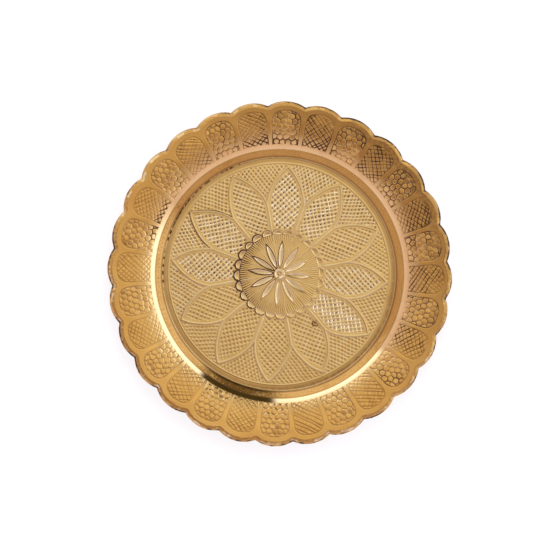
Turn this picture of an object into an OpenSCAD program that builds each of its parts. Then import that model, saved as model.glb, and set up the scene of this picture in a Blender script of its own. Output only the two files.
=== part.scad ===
// Round brass tray with a chased well and a lobed, wired edge.
// The tray lies on its flat underside: +Z is up and the origin is the centre of that resting face.

/* [Overall] */
// Diameter over the tips of the lobes
tray_d = 254; // [252:1:256]
// Height of the rim's top surface above the resting face
tray_h = 16.6; // [15:0.2:18]
// Thickness of the brass sheet
sheet_t = 0.8; // [0.7:0.05:0.9]

/* [Well] */
// Diameter of the flat floor, up to the foot of the wall
floor_d = 171.6; // [170.8:0.2:172.4]
// Diameter of the crease where the wall meets the rim
crease_d = 183.2; // [182.4:0.4:184]
// Height of the crease above the resting face
crease_h = 9.5; // [9.2:0.1:9.8]
// Inside radius of the bend at the foot of the wall
foot_r = 1.2; // [0.8:0.1:2]

/* [Rim] */
// Diameter at which the rim has flattened out
flat_d = 236; // [232:1:237]
// Depth of the sunk rim panels
panel_depth = 0.2; // [0.1:0.05:0.3]
// Diameter of the circle on which the panels start
panel_in_d = 190.4; // [188:0.4:194]
// Diameter of the circle that the arched panel tops reach
panel_out_d = 240.4; // [238:0.4:241]
// Radius of a panel's arched top
arch_r = 17; // [16:0.5:22]
// Share of a lobe's width that its panel takes
panel_share = 0.83; // [0.75:0.01:0.86]

/* [Edge] */
// Number of lobes and of panels
lobe_count = 28; // [27:1:29]
// Angle of the first lobe's middle from +X, in degrees
lobe_turn = 87.8; // [84:0.1:90]
// Radius of one lobe's outline
lobe_r = 25; // [24:0.5:27]
// Radius of the notch between two lobes, along the middle of the bead
notch_r = 3.2; // [3.1:0.1:3.6]
// Diameter of the wire inside the rolled edge
wire_d = 2.4; // [2.2:0.1:2.6]

/* [Chasing on the floor] */
// Number of large petals, and of small petals in the rosette
petal_count = 12; // [11:1:13]
// Angle of the first petal's axis from +X, in degrees
petal_turn = 84.7; // [80:0.1:90]
// Radius of the circle that the large petals' tips reach
petal_tip_r = 79.6; // [78:0.1:79.8]
// Radius at which neighbouring petals start to share an outline
petal_join_r = 52.5; // [50:0.5:54]
// Radius of the arc of a petal's free side
petal_side_r = 41; // [38:0.5:46]
// Width of a petal's plain border
border_w = 1.5; // [1:0.1:2]
// Height of the raised outlines
outline_h = 0.25; // [0.15:0.05:0.4]
// Number of half-moon hollows round the rosette
moon_count = 24; // [20:2:26]
// Radius of the circle on which the half-moons' straight sides lie
moon_ring_r = 29.6; // [29:0.1:31]
// Radius of one half-moon
moon_r = 3.3; // [2.8:0.1:3.4]
// Depth of one half-moon
moon_depth = 0.35; // [0.2:0.05:0.4]
// Radius of the circle that the rosette's tips reach
rosette_r = 23.7; // [22:0.1:26]
// Half the width of a rosette petal
rosette_half_w = 2.3; // [2:0.1:2.6]
// Depth of a rosette petal along its middle
rosette_depth = 0.4; // [0.2:0.05:0.45]
// Outer radius of the ring in the centre
ring_r = 4; // [3.8:0.1:4.4]
// Height of that ring
ring_h = 0.5; // [0.3:0.05:0.6]
// Radius of the cup inside the ring
cup_r = 2.6; // [2.2:0.1:2.8]
// Depth of the cup below the floor's surface
cup_depth = 0.3; // [0.2:0.05:0.4]

/* [Hidden] */
$fn = 96;
sheet_brass = "#c9954a";
wire_brass = "#b58a45";

// Rolled edge: the sheet goes over the wire and round it, and stops short of a full turn.
wire_room = 0.12;                          // clearance round the wire
roll_in_r = wire_d / 2 + wire_room;        // inside of the roll
roll_out_r = roll_in_r + sheet_t;          // outside of the roll
roll_z = tray_h - roll_out_r;              // height of the wire's centre
roll_open = [150, 180];                    // open part of the roll, in degrees from outwards
plate_lap = 0.3;                           // how far the flat sheet stops short of the wire's centre
collar_l = 0.4;                            // length of a collar between a lobe and a notch
collar_grow = 0.06;                        // how much thicker a collar is than what it joins
grow_turn = 40;                            // degrees the open part closes for each mm of thickness

// Lobes and notches are arcs that run into each other, so their centres set where they meet.
pitch = 360 / lobe_count;
lobe_c = tray_d / 2 - lobe_r;              // distance of a lobe's centre from the axis
lobe_path_r = lobe_r - roll_out_r;         // radius of the wire's path round a lobe
notch_c = lobe_c * cos(pitch / 2)
    + sqrt(pow(lobe_path_r + notch_r, 2) - pow(lobe_c * sin(pitch / 2), 2));
lobe_sweep = atan2(notch_c * sin(pitch / 2), notch_c * cos(pitch / 2) - lobe_c);
notch_sweep = lobe_sweep - pitch / 2;

// The wall rises straight from the bend at its foot, so the bend turns by the wall's slope.
floor_z = sheet_t;
wall_w = (crease_d - floor_d) / 2;
wall_h = crease_h - floor_z;
wall_reach = sqrt(wall_w * wall_w + wall_h * wall_h - 2 * wall_h * foot_r);
wall_slope = atan2(wall_h - foot_r, wall_w) + atan2(foot_r, wall_reach);

// The rim is one arc that ends level where it meets the rolled edge.
rim_w = (flat_d - crease_d) / 2;
rim_h = tray_h - crease_h;
rim_r = (rim_w * rim_w + rim_h * rim_h) / (2 * rim_h);
rim_slope = asin(rim_w / rim_r);

// Small details of the chasing.
root_h = 0.3;                              // how far raised details reach down into the floor
edge_line_gap = 3.4;                       // from the foot of the wall to the line round the floor
edge_line_w = 0.8;                         // width of that line
rosette_side_depth = 0.1;                  // depth of a rosette petal along its sides
rosette_gap = 0.3;                         // between the centre ring and the rosette petals
over = 1;                                  // how far cuts reach above the surface

foot_steps = 8;
rim_steps = 8;

function uphill(a) = [-sin(a), cos(a)];    // normal of a surface that rises outwards at slope a
function backwards(v) = [for (i = [len(v) - 1 : -1 : 0]) v[i]];

// Points of the sheet's section at distance d above its top surface, from the floor outwards.
function foot_points(d) =
    [for (i = [0 : foot_steps]) let (a = wall_slope * i / foot_steps)
        [floor_d / 2, floor_z + foot_r] - (foot_r - d) * uphill(a)];
function crease_point(d) =
    [crease_d / 2, crease_h]
    + d / cos((wall_slope - rim_slope) / 2) * uphill((wall_slope + rim_slope) / 2);
function rim_points(d) =
    [for (i = [1 : rim_steps]) let (a = rim_slope * (1 - i / rim_steps))
        [flat_d / 2, tray_h - rim_r] + (rim_r + d) * uphill(a)];
function rim_line(d) = concat([crease_point(d)], rim_points(d), [[tray_d / 2, tray_h + d]]);
function sheet_line(d) = concat([[0, floor_z + d]], foot_points(d), rim_line(d));

// Copies children round the tray's axis.
module repeat(count, first) {
    for (i = [0 : count - 1]) rotate([0, 0, first + i * 360 / count]) children();
}

// Section of the rolled edge round the wire, with +X pointing outwards, thicker by grow all round.
module roll_section(grow = 0) {
    reach = 2 * roll_out_r;
    spread = [grow_turn * grow, -grow_turn * grow];
    difference() {
        circle(r = roll_out_r + grow);
        circle(r = roll_in_r - grow);
        polygon([[0, 0], for (a = roll_open + spread) reach * [cos(a), sin(a)]]);
    }
}

// Carries children(0), a section with +X pointing outwards, round every lobe and every notch.
// Where they meet, a short collar of the thicker section children(1) holds both ends.
module along_edge() {
    repeat(lobe_count, lobe_turn)
        translate([lobe_c, 0, roll_z]) {
            rotate([0, 0, -lobe_sweep])
                rotate_extrude(angle = 2 * lobe_sweep) translate([lobe_path_r, 0]) children(0);
            for (a = [-lobe_sweep, lobe_sweep])
                rotate([0, 0, a]) translate([lobe_path_r, 0, 0]) rotate([90, 0, 0])
                    linear_extrude(collar_l, center = true) children(1);
        }
    repeat(lobe_count, lobe_turn + pitch / 2)
        translate([notch_c, 0, roll_z]) rotate([0, 0, 180 - notch_sweep])
            rotate_extrude(angle = 2 * notch_sweep)
                translate([notch_r, 0]) mirror([1, 0]) children(0);
}

// Outline of the sheet inside the rolled edge.
module plate_outline() {
    circle(r = lobe_c);
    repeat(lobe_count, lobe_turn)
        translate([lobe_c, 0]) circle(r = lobe_path_r - plate_lap);
}

// The pressed sheet: floor, wall and rim at one thickness.
module pressed_sheet() {
    intersection() {
        rotate_extrude() polygon(concat(sheet_line(0), backwards(sheet_line(-sheet_t))));
        linear_extrude(2 * tray_h) plate_outline();
    }
}

// Outline of one rim panel: straight sides that fan out, under an arched top.
module panel_outline() {
    side = panel_share * pitch / 2;
    arch_c = panel_out_d / 2 - arch_r;
    difference() {
        intersection() {
            polygon([[0, 0], for (a = [-side, side]) tray_d / 2 * [1, tan(a)]]);
            union() {
                translate([arch_c, 0]) circle(r = arch_r);
                translate([0, -arch_r]) square([arch_c, 2 * arch_r]);
            }
        }
        circle(r = panel_in_d / 2);
    }
}

// What the rim panels take out of the sheet, following the rim's curve.
module panel_pockets() {
    intersection() {
        rotate_extrude()
            polygon(concat(rim_line(-panel_depth), backwards(rim_line(over))));
        linear_extrude(2 * tray_h) repeat(lobe_count, lobe_turn) panel_outline();
    }
}

// One large petal, its edge moved inwards by inset: two arcs between its neighbours' shared lines.
module petal_outline(inset) {
    half = 180 / petal_count;
    tip = [petal_tip_r, 0];
    chord = petal_join_r * [cos(half), sin(half)] - tip;
    run = norm(chord);
    side_c = tip + chord / 2
        + sqrt(pow(petal_side_r, 2) - run * run / 4) * [-chord[1], chord[0]] / run;
    difference() {
        intersection() {
            translate(side_c) circle(r = petal_side_r - inset);
            translate([side_c[0], -side_c[1]]) circle(r = petal_side_r - inset);
            translate([inset / sin(half), 0])
                polygon([[0, 0], for (a = [-half, half]) tray_d / 2 * [1, tan(a)]]);
        }
        circle(r = moon_ring_r + moon_r);
    }
}

// Raised outlines on the floor: the petals' borders and the line round the floor.
module raised_outlines() {
    translate([0, 0, floor_z - root_h]) linear_extrude(root_h + outline_h) {
        repeat(petal_count, petal_turn)
            difference() {
                petal_outline(0);
                petal_outline(border_w);
            }
        difference() {
            circle(r = floor_d / 2 - edge_line_gap);
            circle(r = floor_d / 2 - edge_line_gap - edge_line_w);
        }
    }
}

// A round hollow in the floor at the origin, r wide at the floor's surface.
module hollow(r, depth) {
    ball_r = (r * r + depth * depth) / (2 * depth);
    intersection() {
        translate([0, 0, floor_z - depth + ball_r]) sphere(r = ball_r);
        cylinder(r = 2 * r, h = floor_z + over);
    }
}

// One half-moon hollow, its straight side towards the axis.
module half_moon() {
    translate([moon_ring_r, 0, 0])
        intersection() {
            hollow(moon_r, moon_depth);
            translate([0, -2 * moon_r, 0]) cube([2 * moon_r, 4 * moon_r, tray_h]);
        }
}

// One rosette petal: a slim leaf cut into the floor with a section like a V.
module rosette_petal() {
    root = ring_r + rosette_gap;
    half_l = (rosette_r - root) / 2;
    side_r = (half_l * half_l + rosette_half_w * rosette_half_w) / (2 * rosette_half_w);
    w = rosette_half_w;
    intersection() {
        linear_extrude(tray_h)
            intersection_for (s = [-1, 1])
                translate([root + half_l, s * (side_r - w)]) circle(r = side_r);
        rotate([90, 0, 90]) linear_extrude(rosette_r)
            polygon([
                [-w, floor_z + over], [-w, floor_z - rosette_side_depth],
                [0, floor_z - rosette_depth],
                [w, floor_z - rosette_side_depth], [w, floor_z + over]
            ]);
    }
}

// The low ring in the centre, before its cup is sunk.
module centre_mound() {
    ball_r = (ring_r * ring_r + ring_h * ring_h) / (2 * ring_h);
    intersection() {
        translate([0, 0, floor_z + ring_h - ball_r]) sphere(r = ball_r);
        translate([0, 0, floor_z - root_h]) cylinder(r = 2 * ring_r, h = root_h + over);
    }
}

// The tray itself: one sheet with its chased relief and its edge rolled over the wire.
module tray_sheet() {
    color(sheet_brass) {
        difference() {
            union() {
                pressed_sheet();
                raised_outlines();
                centre_mound();
            }
            panel_pockets();
            repeat(moon_count, petal_turn + 180 / moon_count) half_moon();
            repeat(petal_count, petal_turn) rosette_petal();
            hollow(cup_r, cup_depth);
        }
        along_edge() {
            roll_section();
            roll_section(collar_grow);
        }
    }
}

// The closed wire that stiffens the edge.
module edge_wire() {
    color(wire_brass)
        along_edge() {
            circle(r = wire_d / 2);
            circle(r = wire_d / 2 + collar_grow);
        }
}

tray_sheet();
edge_wire();
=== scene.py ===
"""The brass tray's looks: chased relief, patina, wired edge, studio light and camera."""

import math

import bpy
import numpy as np
from mathutils import Matrix, Vector


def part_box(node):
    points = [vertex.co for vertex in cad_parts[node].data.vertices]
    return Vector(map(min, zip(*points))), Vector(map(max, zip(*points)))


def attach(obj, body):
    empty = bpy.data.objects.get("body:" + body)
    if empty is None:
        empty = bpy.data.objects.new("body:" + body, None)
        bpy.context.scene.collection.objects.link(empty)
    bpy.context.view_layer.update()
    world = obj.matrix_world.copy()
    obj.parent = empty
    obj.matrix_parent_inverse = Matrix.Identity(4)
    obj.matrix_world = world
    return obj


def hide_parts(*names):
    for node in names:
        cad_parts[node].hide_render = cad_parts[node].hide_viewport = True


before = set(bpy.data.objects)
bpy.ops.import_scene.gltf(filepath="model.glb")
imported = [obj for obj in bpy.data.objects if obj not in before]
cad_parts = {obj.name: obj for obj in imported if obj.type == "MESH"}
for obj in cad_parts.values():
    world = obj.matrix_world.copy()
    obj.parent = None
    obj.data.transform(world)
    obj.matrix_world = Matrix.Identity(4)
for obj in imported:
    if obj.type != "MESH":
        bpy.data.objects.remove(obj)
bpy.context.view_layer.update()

MM = 0.001
rng = np.random.default_rng(28)

# Section of the sheet, in millimetres, as the CAD part has it.
SHEET = 0.8
FLOOR_R, FOOT_R = 85.8, 1.2
CREASE_R, CREASE_Z = 91.6, 9.5
FLAT_R = 118.0
TOP_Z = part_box("tray_sheet")[1].z / MM

# Lobed edge: arcs about centres LOBE_C from the axis, the first of them in direction LOBE_TURN,
# with small arcs the other way between them. The sheet is rolled round the wire.
LOBES = 28
PITCH = 2 * math.pi / LOBES
LOBE_TURN = math.radians(87.8)
LOBE_R, LOBE_C = 25.0, 102.0
NOTCH_R = 3.2
ROLL_IN = 1.32
ROLL_OUT = ROLL_IN + SHEET
LIP_W = 3.5

# Rim panels, by turns of pebbles and of crossed grooves, each with an arched outer end.
PANEL_SHARE, PANEL_IN, PANEL_OUT, ARCH_R = 0.85, 95.4, 120.2, 17.0
PANEL_CUT = 0.15
PEBBLE_U, PEBBLE_V, PEBBLE_GAP = 4.25, 3.75, 0.55
HATCH_PITCH, HATCH_HALF, HATCH_MIDDLE = 2.6, 0.52, 108.0

# Chasing on the floor. The sides of a large petal are arcs from its tip to where it joins the
# next one. H and DEPTH are heights of relief.
PETALS = 12
PETAL_TURN = math.radians(84.7)
PETAL_TIP, PETAL_JOIN, PETAL_SIDE = 79.6, 52.5, 41.0
PETAL_NET, PETAL_NET_MIDDLE = 2.85, 58.0
GROUND_NET, GROUND_NET_MIDDLE = 2.6, 70.0
OUTLINE_H, OUTLINE_HALF, SEAM_DEPTH = 0.22, 0.75, 0.03
EDGE_LINE_R, EDGE_LINE_H, EDGE_LINE_DEPTH = 82.0, 0.12, 0.1
MOONS, MOON_RING, MOON_R = 24, 29.6, 3.3
MOON_LIP_H, MOON_DEPTH = 0.17, 0.5
RAYS, RAY_DEPTH = 112, 0.13
ROSETTE_R, LEAF_ROOT, LEAF_W = 23.6, 4.1, 1.9
LEAF_DEPTH, LEAF_EDGE_DEPTH, LEAF_BURR_H = 0.66, 0.08, 0.07
CUP_R, CUP_DEPTH, CUP_RING, CUP_RING_H = 2.9, 0.55, 3.3, 0.28
KNOB_R, KNOB_H = 1.1, 0.25

# how deep each large petal is punched, clockwise from the first, and the ground after each
PETAL_PUNCH = (0.44, 0.40, 0.26, 0.36, 0.46, 0.24, 0.20, 0.20, 0.21, 0.40, 0.40, 0.32)
GROUND_PUNCH = (0.34, 0.34, 0.20, 0.22, 0.24, 0.18, 0.19, 0.19, 0.30, 0.34, 0.24, 0.25)
# the depth up to which a net is faint, and how much deeper it is at its strongest
SHALLOWEST, PETAL_RANGE, GROUND_RANGE = 0.18, 0.26, 0.16
# how dark the outer side of each large petal's outline is
SEAM_GRIME = (0.5, 0.75, 0.4, 0.3, 0.4, 0.5, 0.7, 0.75, 0.8, 0.6, 1.4, 0.7)
# the petals in which the other family of ridges gets the painted highlights
LEFT_PETALS = (9, 10, 11)

# how dark the hollows have gone, by degrees clockwise from +Y
RIM_PATINA = (
    (0, 45, 100, 125, 150, 250, 290, 320, 345, 360),
    (0.62, 0.66, 0.60, 0.44, 0.34, 0.30, 0.32, 0.40, 0.50, 0.62),
)
FLOOR_PATINA = (
    (0, 45, 80, 110, 150, 200, 260, 300, 340, 360),
    (0.52, 0.52, 0.42, 0.38, 0.30, 0.32, 0.46, 0.54, 0.52, 0.52),
)
CRISPEST = 275
STAIN_X, STAIN_Y, STAIN_R = 26.3, -37.0, 1.5

# the band between the floor's edge line and the panels was left plain and polished
PLAIN_IN, PLAIN_OUT = 81.8, 95.5

# radii at which one visual piece of the sheet's top ends and the next begins
MEDALLION_R, PETALS_R, WALL_R = 34, 83, 95

# how fine the meshes are: rings, and points in each ring or half ring; BACK_REACH is about
# how far out the underside's last ring is, and FIRST_STATION where the rim's halves meet
MEDALLION_STEP = 0.27
PETAL_RINGS, PETAL_POINTS = 150, 649
WALL_RINGS, WALL_POINTS = 61, 401
RIM_RINGS = 89
BACK_RINGS, BACK_POINTS, BACK_WALL_RINGS = 150, 560, 14
BACK_REACH = 121.0
LOBE_STEPS, NOTCH_STEPS = 68, 12
FIRST_STATION = 80


def smooth(lo, hi, x):
    t = np.clip((x - lo) / (hi - lo), 0, 1)
    return t * t * (3 - 2 * t)


def stronger(a, b):
    """Of two kinds of grime and painted light, the one that is further from plain metal."""
    return np.where(np.abs(b) > np.abs(a), b, a)


def near(d, half):
    """1 on a line, falling to 0 at half to either side of it."""
    return np.clip(1 - (d / half) ** 2, 0, 1)


def rounded_min(a, b, k):
    h = np.clip(k - np.abs(a - b), 0, None) / k
    return np.minimum(a, b) - h * h * k / 4


def ripple(x, y, wavelength, seed, count=14):
    """Smooth noise of unit size, made of plane waves of about that wavelength."""
    r = np.random.default_rng(seed)
    out = np.zeros_like(x)
    for _ in range(count):
        a, p = r.uniform(0, 2 * math.pi, 2)
        k = 2 * math.pi / (wavelength * r.uniform(0.7, 1.5))
        out += np.sin(k * (x * math.cos(a) + y * math.sin(a)) + p)
    return out / math.sqrt(count / 2)


def clock_of(x, y):
    """Angle from +Y, clockwise as seen from above."""
    return math.pi / 2 - np.arctan2(y, x)


def towards(clock, degrees):
    """1 in that direction, falling to 0 at right angles to it."""
    return np.clip(np.cos(clock - math.radians(degrees)), 0, 1)


def divide(x, y, first, count):
    """Which of count equal sectors each point is in, clockwise from the one whose middle is at
    the angle first, and its angle from its own sector's middle."""
    step = 2 * math.pi / count
    turn = first - np.arctan2(y, x)
    index = np.round(turn / step).astype(int)
    return index % count, turn - index * step


# ---- the sheet's section ----

SECTION_END = 128.0
FINE_STEP = 0.02
LEAST_FALL = math.radians(3.6)
EASE, EASE_STEPS = 0.28, 60


def section_curve():
    """Radius and height along the sheet's top, from the axis to beyond the lobes."""
    w, h = CREASE_R - FLOOR_R, CREASE_Z - SHEET
    slope = math.atan2(h - FOOT_R, w)
    slope += math.atan2(FOOT_R, math.sqrt(w * w + h * h - 2 * h * FOOT_R))
    rim_w, rim_h = FLAT_R - CREASE_R, TOP_Z - CREASE_Z
    rim = (rim_w**2 + rim_h**2) / (2 * rim_h)
    a = np.linspace(0, slope, 60)
    bend = np.c_[FLOOR_R + FOOT_R * np.sin(a), SHEET + FOOT_R * (1 - np.cos(a))]
    a = np.linspace(math.asin(rim_w / rim), 0, 400)
    flare = np.c_[FLAT_R - rim * np.sin(a), TOP_Z - rim * (1 - np.cos(a))]
    return np.vstack([[[0, SHEET]], bend, flare, [[SECTION_END, TOP_Z]]])


def fine_section():
    """Radius, height and slope at close steps, with the bends eased."""
    curve = section_curve()
    r = np.arange(0, SECTION_END - 1, FINE_STEP)
    z = np.interp(r, curve[:, 0], curve[:, 1])
    # the rim still falls a little inwards where it would be level
    fall = np.clip(math.tan(LEAST_FALL) - np.gradient(z, r), 0, 1)
    fall = np.cumsum(fall * ((r > 105) & (r < 123.6))) * FINE_STEP
    z -= (fall[-1] - fall) * smooth(94, 112, r)
    kernel = np.arange(-EASE_STEPS, EASE_STEPS + 1) * FINE_STEP / EASE
    kernel = np.exp(-0.5 * kernel**2)
    z = np.convolve(np.pad(z, EASE_STEPS, mode="edge"), kernel / kernel.sum(), "valid")
    return r, z, np.arctan(np.gradient(z, r))


FINE_R, FINE_Z, FINE_SLOPE = fine_section()


def section_z(r):
    return np.interp(r, FINE_R, FINE_Z)


def section_slope(r):
    return np.interp(r, FINE_R, FINE_SLOPE)


# ---- chased relief: height in millimetres, and grime with painted light, which is 1 where dirt fills a groove
# and goes below 0 where a ridge is rubbed bright or lightened as a painted highlight ----


class Rows:
    """Parallel rows, spaced by hand."""

    def __init__(self, pitch, r, jitter=0.11, reach=45):
        n = int(2 * reach / pitch) + 4
        self.at = (np.arange(n) - n / 2) * pitch + r.normal(0, jitter * pitch, n)
        self.at.sort()
        self.strength = np.clip(r.normal(0.92, 0.13, n), 0.45, 1.15)

    def beside(self, q):
        """The row after each point, and how far the rows before and after it are."""
        after = np.clip(np.searchsorted(self.at, q), 1, len(self.at) - 1)
        return after, q - self.at[after - 1], self.at[after] - q

    def groove(self, q, half):
        """A groove of this half width along each row."""
        after, back, ahead = self.beside(q)
        row = np.where(back < ahead, after - 1, after)
        return near(np.minimum(back, ahead), half) * self.strength[row]

    def across(self, q):
        """0 on a row and 1 midway between two."""
        _, back, ahead = self.beside(q)
        return np.clip(2 * np.minimum(back, ahead) / (back + ahead), 0, 1)


def hatch(u, v, pitch, half, angles, weights, seed):
    """Two families of grooves, at these angles to the v axis."""
    r = np.random.default_rng(seed)
    wob = 0.16 * ripple(u, v, 16, seed + 1, 6)
    out = np.zeros_like(u)
    for a, w in zip(angles, weights):
        a = math.radians(a + r.normal(0, 2.5))
        q = u * math.cos(a) + v * math.sin(a) + wob
        g = w * Rows(pitch * r.uniform(0.96, 1.04), r).groove(q, half)
        out = 1 - (1 - out) * (1 - np.clip(g, 0, 1))
    return out


def waffle(u, v, pitch, angles, shine, seed):
    """A net of ridges with a pit in each mesh: depth, nearness to a pit's middle, and to a ridge.
    shine is how much of each family of ridges is lightened, as rubbed metal with painted
    highlights."""
    r = np.random.default_rng(seed)
    wob = 0.14 * ripple(u, v, 16, seed + 1, 6)
    deep, pit, crest = np.ones_like(u), np.ones_like(u), np.zeros_like(u)
    for a, w in zip(angles, shine):
        a = math.radians(a + r.normal(0, 2))
        q = u * math.cos(a) + v * math.sin(a) + wob
        x = Rows(pitch * r.uniform(0.97, 1.03), r, 0.07).across(q)
        deep = deep * smooth(0.0, 1.0, x)
        pit = pit * x**1.9
        crest = np.maximum(crest, w * smooth(0.52, 0.2, x))
    fade = np.clip(1 + 0.2 * ripple(u, v, 7, seed + 2, 8), 0.5, 1.4)
    return deep * fade, pit * fade, crest * fade


def pebbles(u, v, seed):
    """Staggered punched pads: the distance inwards from each pad's border, and its own crown."""
    r = np.random.default_rng(seed)
    pads = []
    for j, row in enumerate(np.arange(PANEL_IN - 2.2, PANEL_OUT + 4, PEBBLE_V)):
        for i in range(-4, 5):
            pads.append(((i + 0.5 * (j % 2)) * PEBBLE_U, row + 0.12 * abs(i)))
    pads = np.array(pads) + r.normal(0, 0.34, (len(pads), 2))
    p = np.c_[u, v]
    own = np.linalg.norm(p[:, None, :] - pads[None], axis=2).argmin(1)
    off = p - pads[own]
    # the border is halfway to each pad beside it
    gap = pads[None] - pads[own][:, None, :]
    size = np.linalg.norm(gap, axis=2)
    size[size < 1e-6] = 1e6
    border = ((gap / 2 - off[:, None, :]) * gap).sum(2) / size
    border[np.arange(len(p)), own] = 1e6
    tilt = r.normal(0, 0.05, (len(pads), 2))
    lift = r.normal(0, 0.03, len(pads))
    crown = (tilt[own] * off).sum(1) + lift[own] - 0.012 * (off**2).sum(1)
    return border.min(1), crown


def panel(k, radius, a):
    """Rim panel k, at angles from its own middle."""
    r = np.random.default_rng(500 + k)
    side = (PANEL_SHARE * PITCH / 2) * (1 + r.normal(0, 0.012))
    arch_v = PANEL_OUT + r.normal(0, 0.25) - ARCH_R
    u, v = radius * np.sin(a), radius * np.cos(a)
    d_side = radius * np.sin(side - np.abs(a)) + 0.1 * ripple(u, v, 14, 900 + k, 5)
    d_arch = np.where(v > arch_v, ARCH_R - np.hypot(u, v - arch_v), ARCH_R)
    d = rounded_min(d_side, d_arch, 4.5)
    inside = smooth(0.1, 0.6, rounded_min(d, radius - PANEL_IN, 0.8))
    # a line is chased round the sides and the arch; it fades along the inner end
    line = near(d, 0.48) * smooth(PANEL_IN - 0.6, PANEL_IN + 0.6, radius)
    if k % 2 == 0:
        border, body = pebbles(u, v, 700 + k)
        cut = near(border, PEBBLE_GAP)
    else:
        angles = (53 + r.normal(0, 3), -49 + r.normal(0, 3))
        weights = (1.0, r.uniform(0.6, 0.95))
        v_mid = v - HATCH_MIDDLE
        cut = hatch(u, v_mid, HATCH_PITCH, HATCH_HALF, angles, weights, 800 + k)
        body = 0.02 * ripple(u, v, 5, 850 + k, 6)
        line = 0.85 * line
    cut = np.maximum(cut * inside, line)
    return body * inside - PANEL_CUT * cut, cut


def rim_relief(x, y):
    h = np.zeros_like(x)
    grime_and_painted_light = np.zeros_like(x)
    radius = np.hypot(x, y)
    index, local = divide(x, y, LOBE_TURN, LOBES)
    for k in range(LOBES):
        m = (index == k) & (radius > PANEL_IN - 3)
        h[m], grime_and_painted_light[m] = panel(k, radius[m], local[m])
    return h, grime_and_painted_light


def petal_side_centre():
    """Centre of the arc of a petal's side, along and across the petal."""
    half = math.pi / PETALS
    tip = np.array([PETAL_TIP, 0])
    chord = PETAL_JOIN * np.array([math.cos(half), math.sin(half)]) - tip
    run = np.linalg.norm(chord)
    across = np.array([-chord[1], chord[0]]) / run
    return tip + chord / 2 + math.sqrt(PETAL_SIDE**2 - run**2 / 4) * across


SIDE_CENTRE = petal_side_centre()
# how far each large petal's tip leans clockwise
LEAN = np.radians(np.random.default_rng(61).normal(0, 0.7, PETALS))


def petal(k, radius, a):
    """Large petal k: the distance inwards from its outline, its relief, and its grime with painted
    highlights on the ridges of its net and along its outline.
    """
    lean = a - LEAN[k] * smooth(PETAL_JOIN, PETAL_TIP, radius)
    u, v = radius * np.sin(a), radius * np.cos(a)
    across, along = np.abs(radius * np.sin(lean)), radius * np.cos(lean)
    arc = PETAL_SIDE - np.hypot(along - SIDE_CENTRE[0], across - SIDE_CENTRE[1])
    arc = np.where(radius < PETAL_JOIN - 1, 99.0, arc)
    wedge = radius * np.sin(math.pi / PETALS - np.abs(a))
    d = np.minimum(arc, wedge) + 0.07 * ripple(u, v, 15, 40 + k, 5)
    # the net stops short of the half-moons, and the outline gets finer towards the rosette
    keep = smooth(MOON_RING + MOON_R + 0.2, MOON_RING + MOON_R + 1.6, radius)
    fine = 0.45 + 0.55 * smooth(31, 36, radius)
    line = near(d, OUTLINE_HALF * fine) * smooth(9, 14, radius) * fine
    seam = near(d + 0.75, 0.4) * keep
    inside = smooth(2.1, 2.9, d) * keep
    # one family of ridges is lightened more than the other: painted highlights on the side that
    # catches the light
    shine = (1.0, 0.35) if k in LEFT_PETALS else (0.35, 1.0)
    v_mid = v - PETAL_NET_MIDDLE
    deep, pit, crest = waffle(u, v_mid, PETAL_NET, (45, -45), shine, 320 + k)
    strong = np.clip((PETAL_PUNCH[k] - SHALLOWEST) / PETAL_RANGE, 0, 1)
    dark = ((0.1 + 0.3 * strong) * deep + (0.75 + 0.6 * strong) * pit) * inside
    dark = np.maximum(dark, SEAM_GRIME[k] * seam) * (1 - crest * inside)
    # ridges lightened toward the rubbed tone, rubbed metal with painted highlights, and a painted
    # highlight along the outline
    rubbed_and_highlight = (0.07 + 0.27 * strong) * crest * inside
    rubbed_and_highlight = np.maximum(rubbed_and_highlight, 0.16 * near(d, 0.4 * fine) * keep)
    h = OUTLINE_H * line - SEAM_DEPTH * seam - PETAL_PUNCH[k] * deep * inside
    return d, h, dark - rubbed_and_highlight


def ground(k, radius, a, outline):
    """The punched ground after large petal k: how deep it is, and its grime with painted
    highlights on the ridges of its net.
    """
    u, v = radius * np.sin(a), radius * np.cos(a)
    v_mid = v - GROUND_NET_MIDDLE
    deep, pit, crest = waffle(u, v_mid, GROUND_NET, (31, -40), (0.6, 1.0), 350 + k)
    strong = np.clip((GROUND_PUNCH[k] - SHALLOWEST) / GROUND_RANGE, 0, 1)
    outside = smooth(0.9, 1.5, -outline)
    outside *= smooth(EDGE_LINE_R - 0.8, EDGE_LINE_R - 1.6, radius)
    dark = ((0.1 + 0.2 * strong) * deep + (0.7 + 0.5 * strong) * pit) * (1 - crest)
    # ridges lightened toward the rubbed tone: rubbed metal with painted highlights
    rubbed_and_highlight = (0.05 + 0.13 * strong) * crest
    return GROUND_PUNCH[k] * deep * outside, (dark - rubbed_and_highlight) * outside


def floor_relief(x, y):
    h = np.zeros_like(x)
    grime_and_painted_light = np.zeros_like(x)
    outline = np.zeros_like(x)
    radius = np.hypot(x, y)
    index, local = divide(x, y, PETAL_TURN, PETALS)
    for k in range(PETALS):
        m = index == k
        outline[m], h[m], grime_and_painted_light[m] = petal(k, radius[m], local[m])
    index, local = divide(x, y, PETAL_TURN - math.pi / PETALS, PETALS)
    for k in range(PETALS):
        m = (index == k) & (outline < 0) & (radius < EDGE_LINE_R)
        depth, dirt_and_painted_light = ground(k, radius[m], local[m], outline[m])
        h[m] -= depth
        grime_and_painted_light[m] = stronger(grime_and_painted_light[m], dirt_and_painted_light)
    from_line = radius - EDGE_LINE_R
    h += EDGE_LINE_H * near(from_line, 0.5) - EDGE_LINE_DEPTH * near(from_line + 0.7, 0.4)
    # darker in the corner at the foot of the wall, on the upper left
    left = towards(clock_of(x, y), 305) ** 2
    corner = near(radius - FLOOR_R - 0.2, 0.9)
    corner *= np.clip(0.9 * left + 0.7 * ripple(x, y, 4, 44), 0, 1)
    return h, stronger(grime_and_painted_light, corner * left * 1.6)


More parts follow.
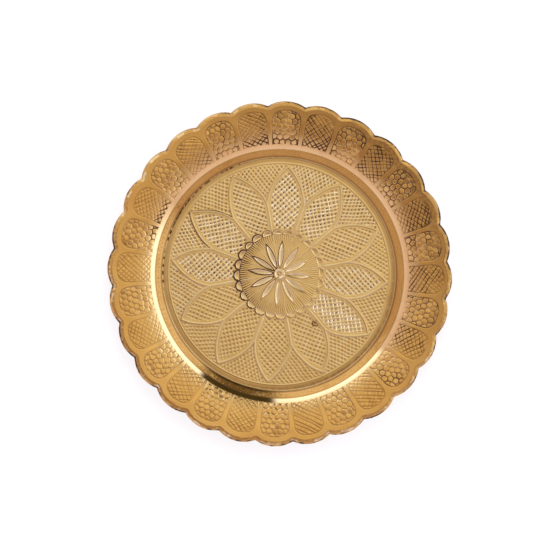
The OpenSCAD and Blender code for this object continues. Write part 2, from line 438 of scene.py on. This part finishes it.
def half_moons(x, y, crisp):
    radius = np.hypot(x, y)
    index, a = divide(x, y, PETAL_TURN + math.pi / MOONS, MOONS)
    size = np.clip(rng.normal(1, 0.05, MOONS), 0.88, 1.08)[index]
    u, w = radius * np.sin(a), radius * np.cos(a) - MOON_RING
    rho = np.hypot(u, w) / size
    bowl = np.sqrt(np.clip(1 - (rho / MOON_R) ** 2, 0, 1)) * smooth(-0.15, 0.45, w)
    lip = near(rho - 3.75, 0.55) * smooth(-0.6, 0.3, w)
    edge = near(rho - 3.85, 0.75) * smooth(-0.9, 0.0, w)
    flat = near(w + 0.3, 0.5) * (rho < 3.4)
    h = (MOON_LIP_H * lip - MOON_DEPTH * bowl) * (0.4 + 0.6 * crisp)
    return h, np.maximum(1.2 * edge, 0.9 * flat) * crisp**2


def fine_rays(x, y, crisp):
    radius = np.hypot(x, y)
    wave = RAYS * clock_of(x, y) + 0.8 * ripple(x, y, 9, 77, 5)
    band = smooth(19.5, 25, radius) * smooth(29.5, 28.8, radius)
    lines = (0.5 - 0.5 * np.cos(wave)) ** 2 * band * (0.55 + 0.45 * smooth(24, 29, radius))
    return -RAY_DEPTH * lines * (0.35 + 0.65 * crisp), 1.1 * lines * crisp**2


def leaves(x, y):
    """The rosette's leaves, each a V-shaped cut: relief, dark outline and the cut's inside."""
    radius = np.hypot(x, y)
    index, a = divide(x, y, PETAL_TURN, PETALS)
    reach = np.clip(rng.normal(ROSETTE_R, 0.9, PETALS), 20.8, 24.4)[index]
    a = a - np.radians(rng.normal(0, 1.2, PETALS))[index]
    u, v = radius * np.sin(a), radius * np.cos(a)
    half_l = (reach - LEAF_ROOT) / 2
    side = (half_l**2 + LEAF_W**2) / (2 * LEAF_W)
    along = v - LEAF_ROOT - half_l
    d = side - np.hypot(along, np.abs(u) + side - LEAF_W)
    width = np.sqrt(np.clip(side**2 - along**2, 0, None)) - side + LEAF_W
    width = np.clip(width, 0.05, None)
    valley = np.clip(1 - np.abs(u) / width, 0, 1) * (width / LEAF_W) ** 0.6 * (d > 0)
    step = smooth(-0.1, 0.25, d) * (v > 3)
    burr = near(d + 0.25, 0.5) * (v > 3)
    dark = np.clip(0.55 + 0.75 * np.cos(clock_of(x, y) - math.radians(310)), 0.25, 1.2)
    outline = near(d + 0.1, 0.45) * (v > 3.5) * dark
    h = LEAF_BURR_H * burr - LEAF_EDGE_DEPTH * step - LEAF_DEPTH * valley
    return h, outline, (d > 0.3) & (v > 3)


def centre_relief(x, y):
    """Half-moons, fine rays, rosette and the cup with its knob in the middle."""
    radius = np.hypot(x, y)
    # worn smooth to the right, crisp to the left
    crisp = 0.62 + 0.38 * np.cos(clock_of(x, y) - math.radians(CRISPEST))
    h, grime_and_painted_light = half_moons(x, y, crisp)
    ray_h, ray_grime = fine_rays(x, y, crisp)
    leaf_h, leaf_grime, leaf = leaves(x, y)
    h = h + ray_h + leaf_h
    grime_and_painted_light = np.maximum(np.maximum(grime_and_painted_light, ray_grime), leaf_grime)
    # the insides of the leaves are lightened a little: a painted highlight
    grime_and_painted_light = np.where(leaf, -0.06, grime_and_painted_light)

    ring = near(radius - CUP_RING, 0.75)
    cup = np.clip(1 - (radius / CUP_R) ** 2, 0, 1)
    knob = near(radius, KNOB_R)
    inner = smooth(4.5, 3.9, radius)
    h = h * (1 - inner) + inner * (CUP_RING_H * ring - CUP_DEPTH * cup + KNOB_H * knob)
    moat = 0.8 * near(radius - 4.15, 0.35) * crisp + 0.4 * near(radius - 1.2, 0.5)
    grime_and_painted_light = np.maximum(grime_and_painted_light * (1 - inner), moat)
    # a ring round the cup is lightened: a painted highlight
    return h, stronger(grime_and_painted_light, -0.15 * near(radius - 3.1, 0.6))


def patina(x, y):
    """How dark the hollows have gone: most on the far right of the rim, with spots elsewhere."""
    radius = np.hypot(x, y)
    clock = np.degrees(clock_of(x, y)) % 360
    centre = 0.68 + 0.32 * np.cos(np.radians(clock - CRISPEST))
    patch = 0.2 * ripple(x, y, 26, 91) + 0.13 * ripple(x, y, 9, 92)
    out = np.where(radius > 90, np.interp(clock, *RIM_PATINA), np.interp(clock, *FLOOR_PATINA))
    out = out * np.clip(1 + patch, 0.4, 1.6)
    out = np.where(radius < 36, centre, out)
    # dirt left at the inner ends of some panels
    ends = near(radius - 97, 4) * (near((clock + 180) % 360 - 180, 24) + near(clock - 294, 12))
    return np.clip(out + 0.8 * ends, 0, 1.2)


def film_and_foot_shade(x, y):
    """A thin brown film on the rim's outer part on the far right, and painted shade in the corner
    by the foot of the wall, most on the lower right.
    """
    radius = np.hypot(x, y)
    clock = clock_of(x, y)
    # painted shade where the floor meets the wall
    corner = (0.32 + 0.1 * towards(clock, 140)) * near(radius - 85.0, 3.0)
    return 0.42 * towards(clock, 50) * smooth(105, 118, radius) + corner


def surface(x, y):
    """Height of the sheet's top, and the grime and painted light on it."""
    radius = np.hypot(x, y)
    z = section_z(radius)
    h = np.zeros_like(x)
    grime_and_painted_light = np.zeros_like(x)
    for inner, outer, relief in (
        (-1, 36.5, centre_relief),
        (8, 88, floor_relief),
        (92, 130, rim_relief),
    ):
        m = (radius > inner) & (radius < outer)
        if m.any():
            more_h, more_grime_and_light = relief(x[m], y[m])
            h[m] += more_h
            grime_and_painted_light[m] = stronger(grime_and_painted_light[m], more_grime_and_light)
    slow = 0.035 * ripple(x, y, 42, 5) + 0.012 * ripple(x, y, 15, 6)
    h += slow * smooth(126, 119, radius)
    thin = film_and_foot_shade(x, y)
    grime_and_painted_light = np.where(grime_and_painted_light > 0, np.maximum(grime_and_painted_light * patina(x, y), thin), grime_and_painted_light + thin)
    # one old brown stain on the floor
    from_stain = np.hypot(x - STAIN_X, y - STAIN_Y) + 0.5 * ripple(x, y, 3, 71)
    grime_and_painted_light = stronger(grime_and_painted_light, 0.62 * near(from_stain - STAIN_R, 0.9))
    return np.clip(z + h, 0.06, TOP_Z - 0.02), np.clip(grime_and_painted_light, -0.6, 1)


# ---- meshes ----


def build(name, verts, faces, grime_and_painted_light, material):
    """A smooth mesh from millimetre vertices and a list of index arrays of 3 or 4 columns."""
    me = bpy.data.meshes.new(name)
    me.vertices.add(len(verts))
    me.vertices.foreach_set("co", (verts * MM).astype(np.float32).ravel())
    loops = np.concatenate([f.ravel() for f in faces]).astype(np.int32)
    sizes = np.concatenate([np.full(len(f), f.shape[1]) for f in faces])
    starts = np.r_[0, np.cumsum(sizes)[:-1]].astype(np.int32)
    me.loops.add(len(loops))
    me.loops.foreach_set("vertex_index", loops)
    me.polygons.add(len(sizes))
    me.polygons.foreach_set("loop_start", starts)
    me.update(calc_edges=True)
    me.shade_smooth()
    layer = me.attributes.new("grime_and_painted_light", "FLOAT", "POINT")
    layer.data.foreach_set("value", grime_and_painted_light.astype(np.float32))
    me.materials.append(material)
    ob = bpy.data.objects.new(name, me)
    bpy.context.scene.collection.objects.link(ob)
    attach(ob, "root")
    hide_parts("tray_sheet")
    return ob


def strip(rows, n, closed):
    """Quads between rows of n vertices each."""
    i = np.arange(rows - 1)[:, None] * n
    j = np.arange(n if closed else n - 1)[None]
    k = (j + 1) % n
    return np.stack([i + j, i + n + j, i + n + k, i + k], -1).reshape(-1, 4)


def disc(name, bands, material):
    """Rings round a middle point. bands is a list of (radii, vertices in a ring), from the
    middle out, and each band has twice as many vertices in a ring as the last."""
    verts, faces = [np.zeros((1, 2))], []
    last, last_n = 0, 1
    base = 1
    for radii, n in bands:
        a = np.arange(n) * 2 * math.pi / n
        j = np.arange(n)
        k = (j + 1) % n
        for r in radii:
            verts.append(np.c_[r * np.cos(a), r * np.sin(a)])
            if last_n == 1:
                faces.append(np.c_[np.full(n, last), base + j, base + k])
            elif last_n == n:
                faces.append(np.c_[last + j, base + j, base + k, last + k])
            else:
                c = np.arange(last_n)
                d = (c + 1) % last_n
                start, middle, end = base + 2 * c, base + 2 * c + 1, base + (2 * c + 2) % n
                faces.append(np.c_[last + c, start, middle])
                faces.append(np.c_[last + c, middle, last + d])
                faces.append(np.c_[last + d, middle, end])
            last, last_n = base, n
            base += n
    xy = np.vstack(verts)
    z, grime_and_painted_light = surface(xy[:, 0], xy[:, 1])
    return build(name, np.c_[xy, z], faces, grime_and_painted_light, material)


def top_strip(name, x, y, material):
    """Part of the sheet's top over a grid of points."""
    z, grime_and_painted_light = surface(x.ravel(), y.ravel())
    verts = np.c_[x.ravel(), y.ravel(), z]
    return build(name, verts, [strip(*x.shape, False)], grime_and_painted_light, material)


def sector(name, radii, angles, material):
    """Part of a ring between the angles."""
    x, y = radii[:, None] * np.cos(angles), radii[:, None] * np.sin(angles)
    return top_strip(name, x, y, material)


def lobed_path():
    """Stations round the edge: centre and radius of each station's arc, the direction out of
    the centre, and 1 on a lobe or -1 in a notch."""
    notch_c = LOBE_C * math.cos(PITCH / 2) + math.sqrt(
        (LOBE_R - ROLL_OUT + NOTCH_R) ** 2 - (LOBE_C * math.sin(PITCH / 2)) ** 2
    )
    sweep = math.atan2(
        notch_c * math.sin(PITCH / 2), notch_c * math.cos(PITCH / 2) - LOBE_C
    )
    turn_back = sweep - PITCH / 2
    stations = []
    for k in range(LOBES):
        lobe = LOBE_TURN + k * PITCH
        for t in np.linspace(-sweep, sweep, LOBE_STEPS + 1)[:-1]:
            stations.append((lobe, LOBE_C, lobe + t, 1, LOBE_R))
        notch = lobe + PITCH / 2
        for t in np.linspace(turn_back, -turn_back, NOTCH_STEPS + 1)[:-1]:
            stations.append((notch, notch_c, notch + t, -1, NOTCH_R - ROLL_OUT))
    middle, reach, facing, sign, radius = np.array(stations).T
    centre = np.c_[reach * np.cos(middle), reach * np.sin(middle)]
    direction = np.c_[np.cos(facing), np.sin(facing)]
    return centre, direction, sign[:, None], radius[:, None]


PATH = lobed_path()
STATIONS = len(PATH[0])


def at_depth(d):
    """Points of the edge's outline moved inwards by d."""
    centre, direction, sign, radius = PATH
    return centre + direction * sign * (radius - sign * d)


def lip_section():
    """Depth from the outline, height and grime, which here is painted shade, from the crease over
    the bead to its hem.
    """
    z0 = TOP_Z - ROLL_OUT
    t = np.linspace(0, 1, 26)
    # a facet that falls gently outwards, then a tight turn
    facet_z = z0 + (ROLL_OUT - 0.06) * (1 - t**2.9) ** (1 / 1.7) - 0.64 * t * (1 - t)
    top = np.c_[LIP_W * (1 - t) ** 1.35, facet_z]
    a = np.radians(np.linspace(0, -180, 34)[1:])
    low = np.c_[ROLL_OUT - ROLL_OUT * np.cos(a), z0 + ROLL_OUT * np.sin(a)]
    hem = np.c_[np.linspace(2 * ROLL_OUT, ROLL_OUT + ROLL_IN, 5)[1:], np.full(4, z0)]
    line = np.vstack([[[LIP_W, TOP_Z - 0.2]], top, low, hem])
    # painted shade in the crease and outside the facet, less under the bead
    below = np.linspace(0, 1, len(low) + len(hem))
    facet_soil_and_shade = 0.06 + 0.46 * smooth(0.42, 0.66, t)
    soil_and_shade = np.r_[0.45, facet_soil_and_shade, 0.5 - 0.24 * smooth(0.05, 0.3, below)]
    soil_and_shade[1:4] = (0.36, 0.26, 0.14)
    return line, soil_and_shade


def edge_piece(name, keep, material):
    """The lip and the bead over part of the edge."""
    line, soil_and_shade = lip_section()
    rows = []
    for d, z in line:
        rows.append(np.c_[at_depth(d), np.full(STATIONS, z)])
    grid = np.array(rows)[:, keep]
    depth, height = line[:, :1], line[:, 1:]
    x, y = grid[..., 0], grid[..., 1]
    soft = 0.05 * ripple(x, y, 9, 15) + 0.03 * ripple(x, y, 3.5, 16)
    soft = np.abs(soft) * smooth(LIP_W, LIP_W - 0.8, depth)
    inward = -np.stack([x, y], -1) / np.hypot(x, y)[..., None]
    grid[..., :2] += inward * soft[..., None]
    grid[..., 2] -= soft * 0.8
    shade_amount = np.clip(0.75 + 0.5 * ripple(x, y, 24, 17) + 0.25 * ripple(x, y, 6, 18), 0.1, 1.3)
    # painted light: the far side of the edge, a little to the left, gets less painted shade
    shade_amount = shade_amount * (1 - 0.5 * towards(clock_of(x, y), 345) ** 2)
    notch = PATH[2][keep].T < 0
    grime_and_painted_light = soil_and_shade[:, None] * shade_amount + 0.12 * notch * smooth(LIP_W, 0, depth) + 0.7 * film_and_foot_shade(x, y)
    # painted highlights: patches on the facet lightened toward the rubbed tone
    facet = smooth(0.7, 1.3, depth) * smooth(3.1, 2.3, depth) * (height > TOP_Z - 1.2)
    patch = smooth(0.2, 1.2, ripple(x, y, 13, 19) + 0.4 * ripple(x, y, 4, 20))
    grime_and_painted_light = np.clip(grime_and_painted_light - 0.34 * facet * patch, -0.4, 1)
    faces = [strip(len(line), len(keep), False)]
    return build(name, grid.reshape(-1, 3), faces, grime_and_painted_light.ravel(), material)


def rim_piece(name, keep, material):
    """The rim over part of the edge, from the wall to the lip's crease."""
    crease = at_depth(LIP_W)[keep]
    angle = np.arctan2(crease[:, 1], crease[:, 0])
    far = np.hypot(crease[:, 0], crease[:, 1])
    t = np.linspace(0, 1, RIM_RINGS)[:, None]
    radius = WALL_R + (far - WALL_R)[None] * t
    return top_strip(name, radius * np.cos(angle), radius * np.sin(angle), material)


def underside(name, material):
    """The back: the sheet's other face, dented and lightly soiled."""
    keep = np.arange(BACK_POINTS) * STATIONS // BACK_POINTS
    path = at_depth(ROLL_OUT + 0.1)[keep]
    angle = np.arctan2(path[:, 1], path[:, 0])
    far = np.hypot(path[:, 0], path[:, 1])
    # more rings at the wall's two bends and between them
    wall = np.linspace(FLOOR_R - 1.8, CREASE_R + 1.4, BACK_WALL_RINGS) / BACK_REACH
    t = np.sort(np.r_[np.linspace(0, 1, BACK_RINGS), wall])
    radius = far[None] * t[:, None]
    slope = section_slope(radius)
    x, y = radius * np.cos(angle), radius * np.sin(angle)
    dent = 0.12 + 0.05 * ripple(x, y, 11, 31) + 0.03 * ripple(x, y, 5, 32)
    z = section_z(radius) - SHEET * np.cos(slope) + np.clip(dent, 0, 0.3)
    z = np.maximum(z, 0.0)
    z[radius < 1e-6] = z[0].max()
    out = radius + SHEET * np.sin(slope)
    x, y = out * np.cos(angle), out * np.sin(angle)
    grime_and_painted_light = np.clip(0.2 + 0.09 * ripple(x, y, 30, 33) + 0.04 * ripple(x, y, 7, 34), 0, 0.5)
    faces = [strip(len(t), BACK_POINTS, True)[:, ::-1]]
    verts = np.c_[x.ravel(), y.ravel(), z.ravel()]
    return build(name, verts, faces, grime_and_painted_light.ravel(), material)


# ---- materials ----

# the well has gone olive, the rim amber; each is a mix of two tones
WELL_TONES = (0.69, 0.488, 0.208), (0.64, 0.44, 0.176)
RIM_TONES = (0.656, 0.39, 0.118), (0.624, 0.352, 0.1)
WALL_GOLD = (0.86, 0.6, 0.28)
# radii in millimetres over which the well's tone turns to the rim's, and the wall's to gold
TONE_IN, TONE_OUT = 86.0, 98.0
GOLD_IN, GOLD_OUT, GOLD_SHARE = 87.0, 88.5, 0.55
BLOTCH = (0.40, 0.216, 0.096)
# the tone of rubbed metal, also used for painted highlights on ridges, leaves, the cup's ring and
# the lip
RUBBED_AND_HIGHLIGHT = (1.0, 0.89, 0.58)
# tarnish and dirt tones, also used for painted shade on the lip and at the foot of the wall
TARNISH_AND_SHADE = (0.304, 0.152, 0.046)
DIRT_AND_SHADE = (0.08, 0.038, 0.017)
WIRE_TONES = (0.5, 0.31, 0.12), (0.28, 0.15, 0.06)


class Nodes:
    """Adds nodes to a tree and links them."""

    def __init__(self, tree):
        self.tree = tree
        tree.nodes.clear()

    def plug(self, socket, value):
        if isinstance(value, bpy.types.NodeSocket):
            self.tree.links.new(value, socket)
        else:
            socket.default_value = value

    def add(self, kind, inputs=None, **props):
        node = self.tree.nodes.new(kind)
        for name, value in props.items():
            setattr(node, name, value)
        for name, value in (inputs or {}).items():
            self.plug(node.inputs[name], value)
        return node

    def maths(self, operation, *values, clamp=False):
        node = self.add("ShaderNodeMath", operation=operation, use_clamp=clamp)
        for i, value in enumerate(values):
            self.plug(node.inputs[i], value)
        return node.outputs[0]

    def spread(self, value, lo, hi, a=0.0, b=1.0, kind="SMOOTHSTEP"):
        node = self.add(
            "ShaderNodeMapRange",
            {"Value": value, "From Min": lo, "From Max": hi, "To Min": a, "To Max": b},
            interpolation_type=kind,
        )
        return node.outputs["Result"]

    def mix(self, share, a, b):
        """Colour a, with this share of colour b."""
        node = self.add("ShaderNodeMix", data_type="RGBA")
        self.plug(node.inputs[0], share)
        for i, colour in ((6, a), (7, b)):
            self.plug(node.inputs[i], (*colour, 1) if isinstance(colour, tuple) else colour)
        return node.outputs[2]

    def noise(self, where, scale, detail=4.0, rough=0.55):
        return self.add(
            "ShaderNodeTexNoise",
            {"Vector": where, "Scale": scale, "Detail": detail, "Roughness": rough},
        ).outputs["Fac"]

    def bump(self, height, strength, distance, **inputs):
        inputs.update({"Height": height, "Strength": strength, "Distance": distance})
        return self.add("ShaderNodeBump", inputs).outputs[0]

    def band(self, r, inner, outer, rise, fall):
        """1 between two radii in millimetres, with a soft edge inside each."""
        start = self.spread(r, inner * MM, (inner + rise) * MM)
        return self.maths("MULTIPLY", start, self.spread(r, outer * MM, (outer - fall) * MM))


def brass_material():
    mat = bpy.data.materials.new("chased_brass")
    mat.use_nodes = True
    n = Nodes(mat.node_tree)
    where = n.add("ShaderNodeTexCoord").outputs["Object"]
    x, y, _ = n.add("ShaderNodeSeparateXYZ", {"Vector": where}).outputs
    grime_and_painted_light = n.add("ShaderNodeAttribute", attribute_name="grime_and_painted_light").outputs["Fac"]
    r = n.maths("SQRT", n.maths("ADD", n.maths("MULTIPLY", x, x), n.maths("MULTIPLY", y, y)))
    wall = n.band(r, FLOOR_R, CREASE_R + 0.2, 0.6, 1.0)
    plain = n.band(r, PLAIN_IN, PLAIN_OUT, 1.0, 1.0)

    tone = n.spread(n.noise(where, 35, 5), 0.35, 0.7)
    is_rim = n.spread(r, TONE_IN * MM, TONE_OUT * MM)
    base = n.mix(is_rim, n.mix(tone, *WELL_TONES), n.mix(tone, *RIM_TONES))
    gold = n.spread(r, GOLD_IN * MM, GOLD_OUT * MM, 0.0, GOLD_SHARE)
    base = n.mix(n.maths("MULTIPLY", wall, gold), base, WALL_GOLD)
    blotch = n.spread(n.noise(where, 140, 2, 0.5), 0.56, 0.72)
    base = n.mix(n.maths("MULTIPLY", blotch, 0.14), base, BLOTCH)

    # thick grime and painted shade are flecked, a thin film is even
    fleck = n.spread(n.noise(where, 420, 3, 0.6), 0.3, 0.6, -0.33, 0.27)
    fleck = n.maths("MULTIPLY", fleck, n.spread(grime_and_painted_light, 0.25, 0.6))
    soil_and_shade = n.maths("MULTIPLY", grime_and_painted_light, n.maths("ADD", fleck, 0.88))
    # the tarnish and dirt tones darken the hollows, and paint shade on the lip and at the foot of
    # the wall
    tarnish_and_shade = n.spread(soil_and_shade, 0.02, 0.4, 0.0, 0.75, "LINEAR")
    dirt_and_painted_light = n.spread(soil_and_shade, 0.3, 0.66)
    # below 0, grime turns the colour to the rubbed tone: worn ridges and painted highlights
    rubbed_and_highlight = n.spread(grime_and_painted_light, -0.02, -0.5, 0.0, 1.0, "LINEAR")
    base = n.mix(rubbed_and_highlight, base, RUBBED_AND_HIGHLIGHT)
    colour = n.mix(dirt_and_painted_light, n.mix(tarnish_and_shade, base, TARNISH_AND_SHADE), DIRT_AND_SHADE)

    rough = n.maths("ADD", n.spread(plain, 0, 1, 0.18, 0.06), n.maths("MULTIPLY", soil_and_shade, 0.25))
    rough = n.maths("ADD", rough, n.maths("MULTIPLY", wall, 0.15))
    uneven = n.spread(n.noise(where, 60, 5), 0.3, 0.7, -0.02, 0.05, "LINEAR")
    rough = n.maths("ADD", rough, n.maths("MULTIPLY", uneven, n.spread(plain, 0, 1, 1, 0.15)))

    # fine turning marks round the axis, and a finer grain
    along_r = n.add("ShaderNodeCombineXYZ", {"X": r, "Y": 0.0, "Z": 0.0}).outputs[0]
    rings = n.bump(n.noise(along_r, 2600, 2), n.spread(plain, 0, 1, 0.06, 0.015), 0.0002)
    grain = n.noise(where, 900, 4, 0.7)
    bump = n.bump(grain, n.spread(plain, 0, 1, 0.14, 0.005), 0.0002, Normal=rings)
    shader = n.add(
        "ShaderNodeBsdfPrincipled",
        {
            "Base Color": colour,
            "Metallic": n.maths("SUBTRACT", 1.0, n.maths("MULTIPLY", dirt_and_painted_light, 0.12)),
            "Roughness": rough,
            "Specular IOR Level": n.spread(dirt_and_painted_light, 0, 1, 0.5, 0.1),
            "Normal": bump,
        },
    )
    n.add("ShaderNodeOutputMaterial", {"Surface": shader.outputs[0]})
    return mat


def wire_material():
    mat = bpy.data.materials.new("drawn_wire")
    mat.use_nodes = True
    n = Nodes(mat.node_tree)
    where = n.add("ShaderNodeTexCoord").outputs["Object"]
    tone = n.noise(where, 120, 4)
    shader = n.add(
        "ShaderNodeBsdfPrincipled",
        {
            "Base Color": n.mix(n.spread(tone, 0.4, 0.7), *WIRE_TONES),
            "Metallic": 1.0,
            "Roughness": n.spread(tone, 0.3, 0.7, 0.35, 0.5, "LINEAR"),
            "Normal": n.bump(n.noise(where, 1500, 3), 0.2, 0.0001),
        },
    )
    n.add("ShaderNodeOutputMaterial", {"Surface": shader.outputs[0]})
    return mat


# ---- the tray ----

brass = brass_material()

medallion_bands = [
    (np.arange(MEDALLION_STEP, 4.5, MEDALLION_STEP), 162),
    (np.arange(4.59, 9, MEDALLION_STEP), 324),
    (np.arange(9.18, 18, MEDALLION_STEP), 648),
    (np.linspace(18.1, MEDALLION_R, 54), 1296),
]
disc("medallion", medallion_bands, brass)

for side_name, start in (("east", -math.pi / 2), ("west", math.pi / 2)):
    angles = start + np.linspace(0, math.pi, PETAL_POINTS)
    sector("petals_" + side_name, np.linspace(MEDALLION_R, PETALS_R, PETAL_RINGS), angles, brass)
    angles = start + np.linspace(0, math.pi, WALL_POINTS)
    sector("wall_" + side_name, np.linspace(PETALS_R, WALL_R, WALL_RINGS), angles, brass)

for side_name, begin in (("west", FIRST_STATION), ("east", FIRST_STATION + STATIONS // 2)):
    keep = (begin + np.arange(STATIONS // 2 + 1)) % STATIONS
    rim_piece("rim_" + side_name, keep, brass)
    edge_piece("rolled_edge_" + side_name, keep, brass)

underside("underside", brass)

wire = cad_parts["edge_wire"]
for material_slot in wire.material_slots:
    material_slot.material = wire_material()

# ---- studio ----

# colours of the room that the brass reflects; LOW is the same thing nearer the horizon
CEILING_DIM, CEILING_LIT = (0.38, 0.26, 0.19), (0.95, 0.9, 0.81)
NEAR_WALL, NEAR_WALL_MIDDLE = (0.60, 0.58, 0.82), (0.92, 0.88, 1.4)
NEAR_WALL_LOW = (0.58, 0.53, 0.48)
PALE_BAND = (0.80, 0.81, 0.84)
WINDOW, WINDOW_LOW = (1.65, 2.05, 3.7), (0.86, 0.83, 0.78)
GAP, GAP_LOW = (0.07, 0.06, 0.04), (0.1, 0.09, 0.08)


def studio_world():
    """A dim warm ceiling, windows low on the far side and a pale wall on the near side."""
    scene = bpy.context.scene
    scene.world = bpy.data.worlds.new("studio")
    scene.world.use_nodes = True
    n = Nodes(scene.world.node_tree)
    where = n.add("ShaderNodeTexCoord").outputs["Generated"]
    x, y, z = n.add("ShaderNodeSeparateXYZ", {"Vector": where}).outputs
    # in degrees, down from overhead and clockwise from +Y
    zenith = n.maths("MULTIPLY", n.maths("ARCCOSINE", z), 180 / math.pi)
    clock = n.maths("MULTIPLY", n.maths("ARCTAN2", x, y), 180 / math.pi)

    def below(upper, start, end, lower):
        """One colour above the start angle from the zenith, and another below the end angle."""
        return n.mix(n.spread(zenith, start, end), upper, lower)

    # the ceiling is brighter towards the far right
    across = n.maths(
        "ADD",
        n.spread(x, -0.08, 0.02, -0.28, 0.0, "LINEAR"),
        n.spread(x, 0.02, 0.16, 0.0, 0.15, "LINEAR"),
    )
    level = n.maths("ADD", n.spread(y, -0.18, 0.18, 0.08, 1.0, "LINEAR"), across, clamp=True)
    ceiling = n.mix(level, CEILING_DIM, CEILING_LIT)

    near_wall = below(below(NEAR_WALL, 30, 54, NEAR_WALL_MIDDLE), 57, 72, NEAR_WALL_LOW)
    near_side = below(ceiling, 22, 30, near_wall)

    # the windows have a pale band over them and a dark gap between them
    closed = n.maths("MULTIPLY", n.spread(clock, 4, 9), n.spread(clock, 42, 38))
    windows = n.mix(closed, below(WINDOW, 57, 68, WINDOW_LOW), below(GAP, 68, 88, GAP_LOW))
    far_side = below(ceiling, 24, 34, below(PALE_BAND, 42, 52, windows))

    is_far = n.maths("MULTIPLY", n.spread(clock, -52, -47), n.spread(clock, 122, 104))
    colour = n.mix(is_far, near_side, far_side)
    back = n.add("ShaderNodeBackground", {"Color": colour, "Strength": 1.25})
    n.add("ShaderNodeOutputWorld", {"Surface": back.outputs[0]})


def white_floor():
    me = bpy.data.meshes.new("floor")
    s = 3.0
    me.from_pydata([(-s, -s, 0), (s, -s, 0), (s, s, 0), (-s, s, 0)], [], [(0, 1, 2, 3)])
    ob = bpy.data.objects.new("floor", me)
    ob.location.z = -0.0003
    bpy.context.scene.collection.objects.link(ob)
    mat = bpy.data.materials.new("white_floor")
    mat.use_nodes = True
    n = Nodes(mat.node_tree)
    shader = n.add(
        "ShaderNodeBsdfPrincipled",
        {
            "Base Color": (0.30, 0.28, 0.25, 1),
            "Roughness": 0.9,
            "Emission Color": (1, 1, 1, 1),
            "Emission Strength": 0.75,
        },
    )
    n.add("ShaderNodeOutputMaterial", {"Surface": shader.outputs[0]})
    me.materials.append(mat)


def lamp(name, size, power, at, target, colour):
    data = bpy.data.lights.new(name, "AREA")
    data.shape = "DISK"
    data.size = size
    data.energy = power
    data.color = colour
    ob = bpy.data.objects.new(name, data)
    ob.location = at
    ob.rotation_euler = (Vector(target) - Vector(at)).to_track_quat("-Z", "Y").to_euler()
    ob.visible_glossy = False
    bpy.context.scene.collection.objects.link(ob)


def photo_camera():
    """Almost straight down on the tray, leaning a little to the left, through a long lens."""
    data = bpy.data.cameras.new("camera")
    cam = bpy.data.objects.new("camera", data)
    data.lens = 175
    data.sensor_width = 36
    view_width = 0.411
    distance = view_width * data.lens / data.sensor_width
    target = Vector((-0.0004, -0.0047, TOP_Z * MM))
    lean_x, lean_y = math.radians(-3.4), math.radians(-0.8)
    back = Vector((math.tan(lean_x), math.tan(lean_y), 1)).normalized()
    cam.location = target + back * distance
    right = Vector((0, 1, 0)).cross(back).normalized()
    up = back.cross(right)
    cam.rotation_mode = "QUATERNION"
    cam.rotation_quaternion = Matrix((right, up, back)).transposed().to_quaternion()
    data.clip_start, data.clip_end = 0.1, 20
    bpy.context.scene.collection.objects.link(cam)
    bpy.context.scene.camera = cam


studio_world()
white_floor()
lamp("key", 0.8, 8, (0.15, 1.1, 1.5), (0, 0, 0), (1, 0.97, 0.92))
photo_camera()
bpy.context.scene.view_settings.view_transform = "Standard"
bpy.context.scene.view_settings.look = "None"
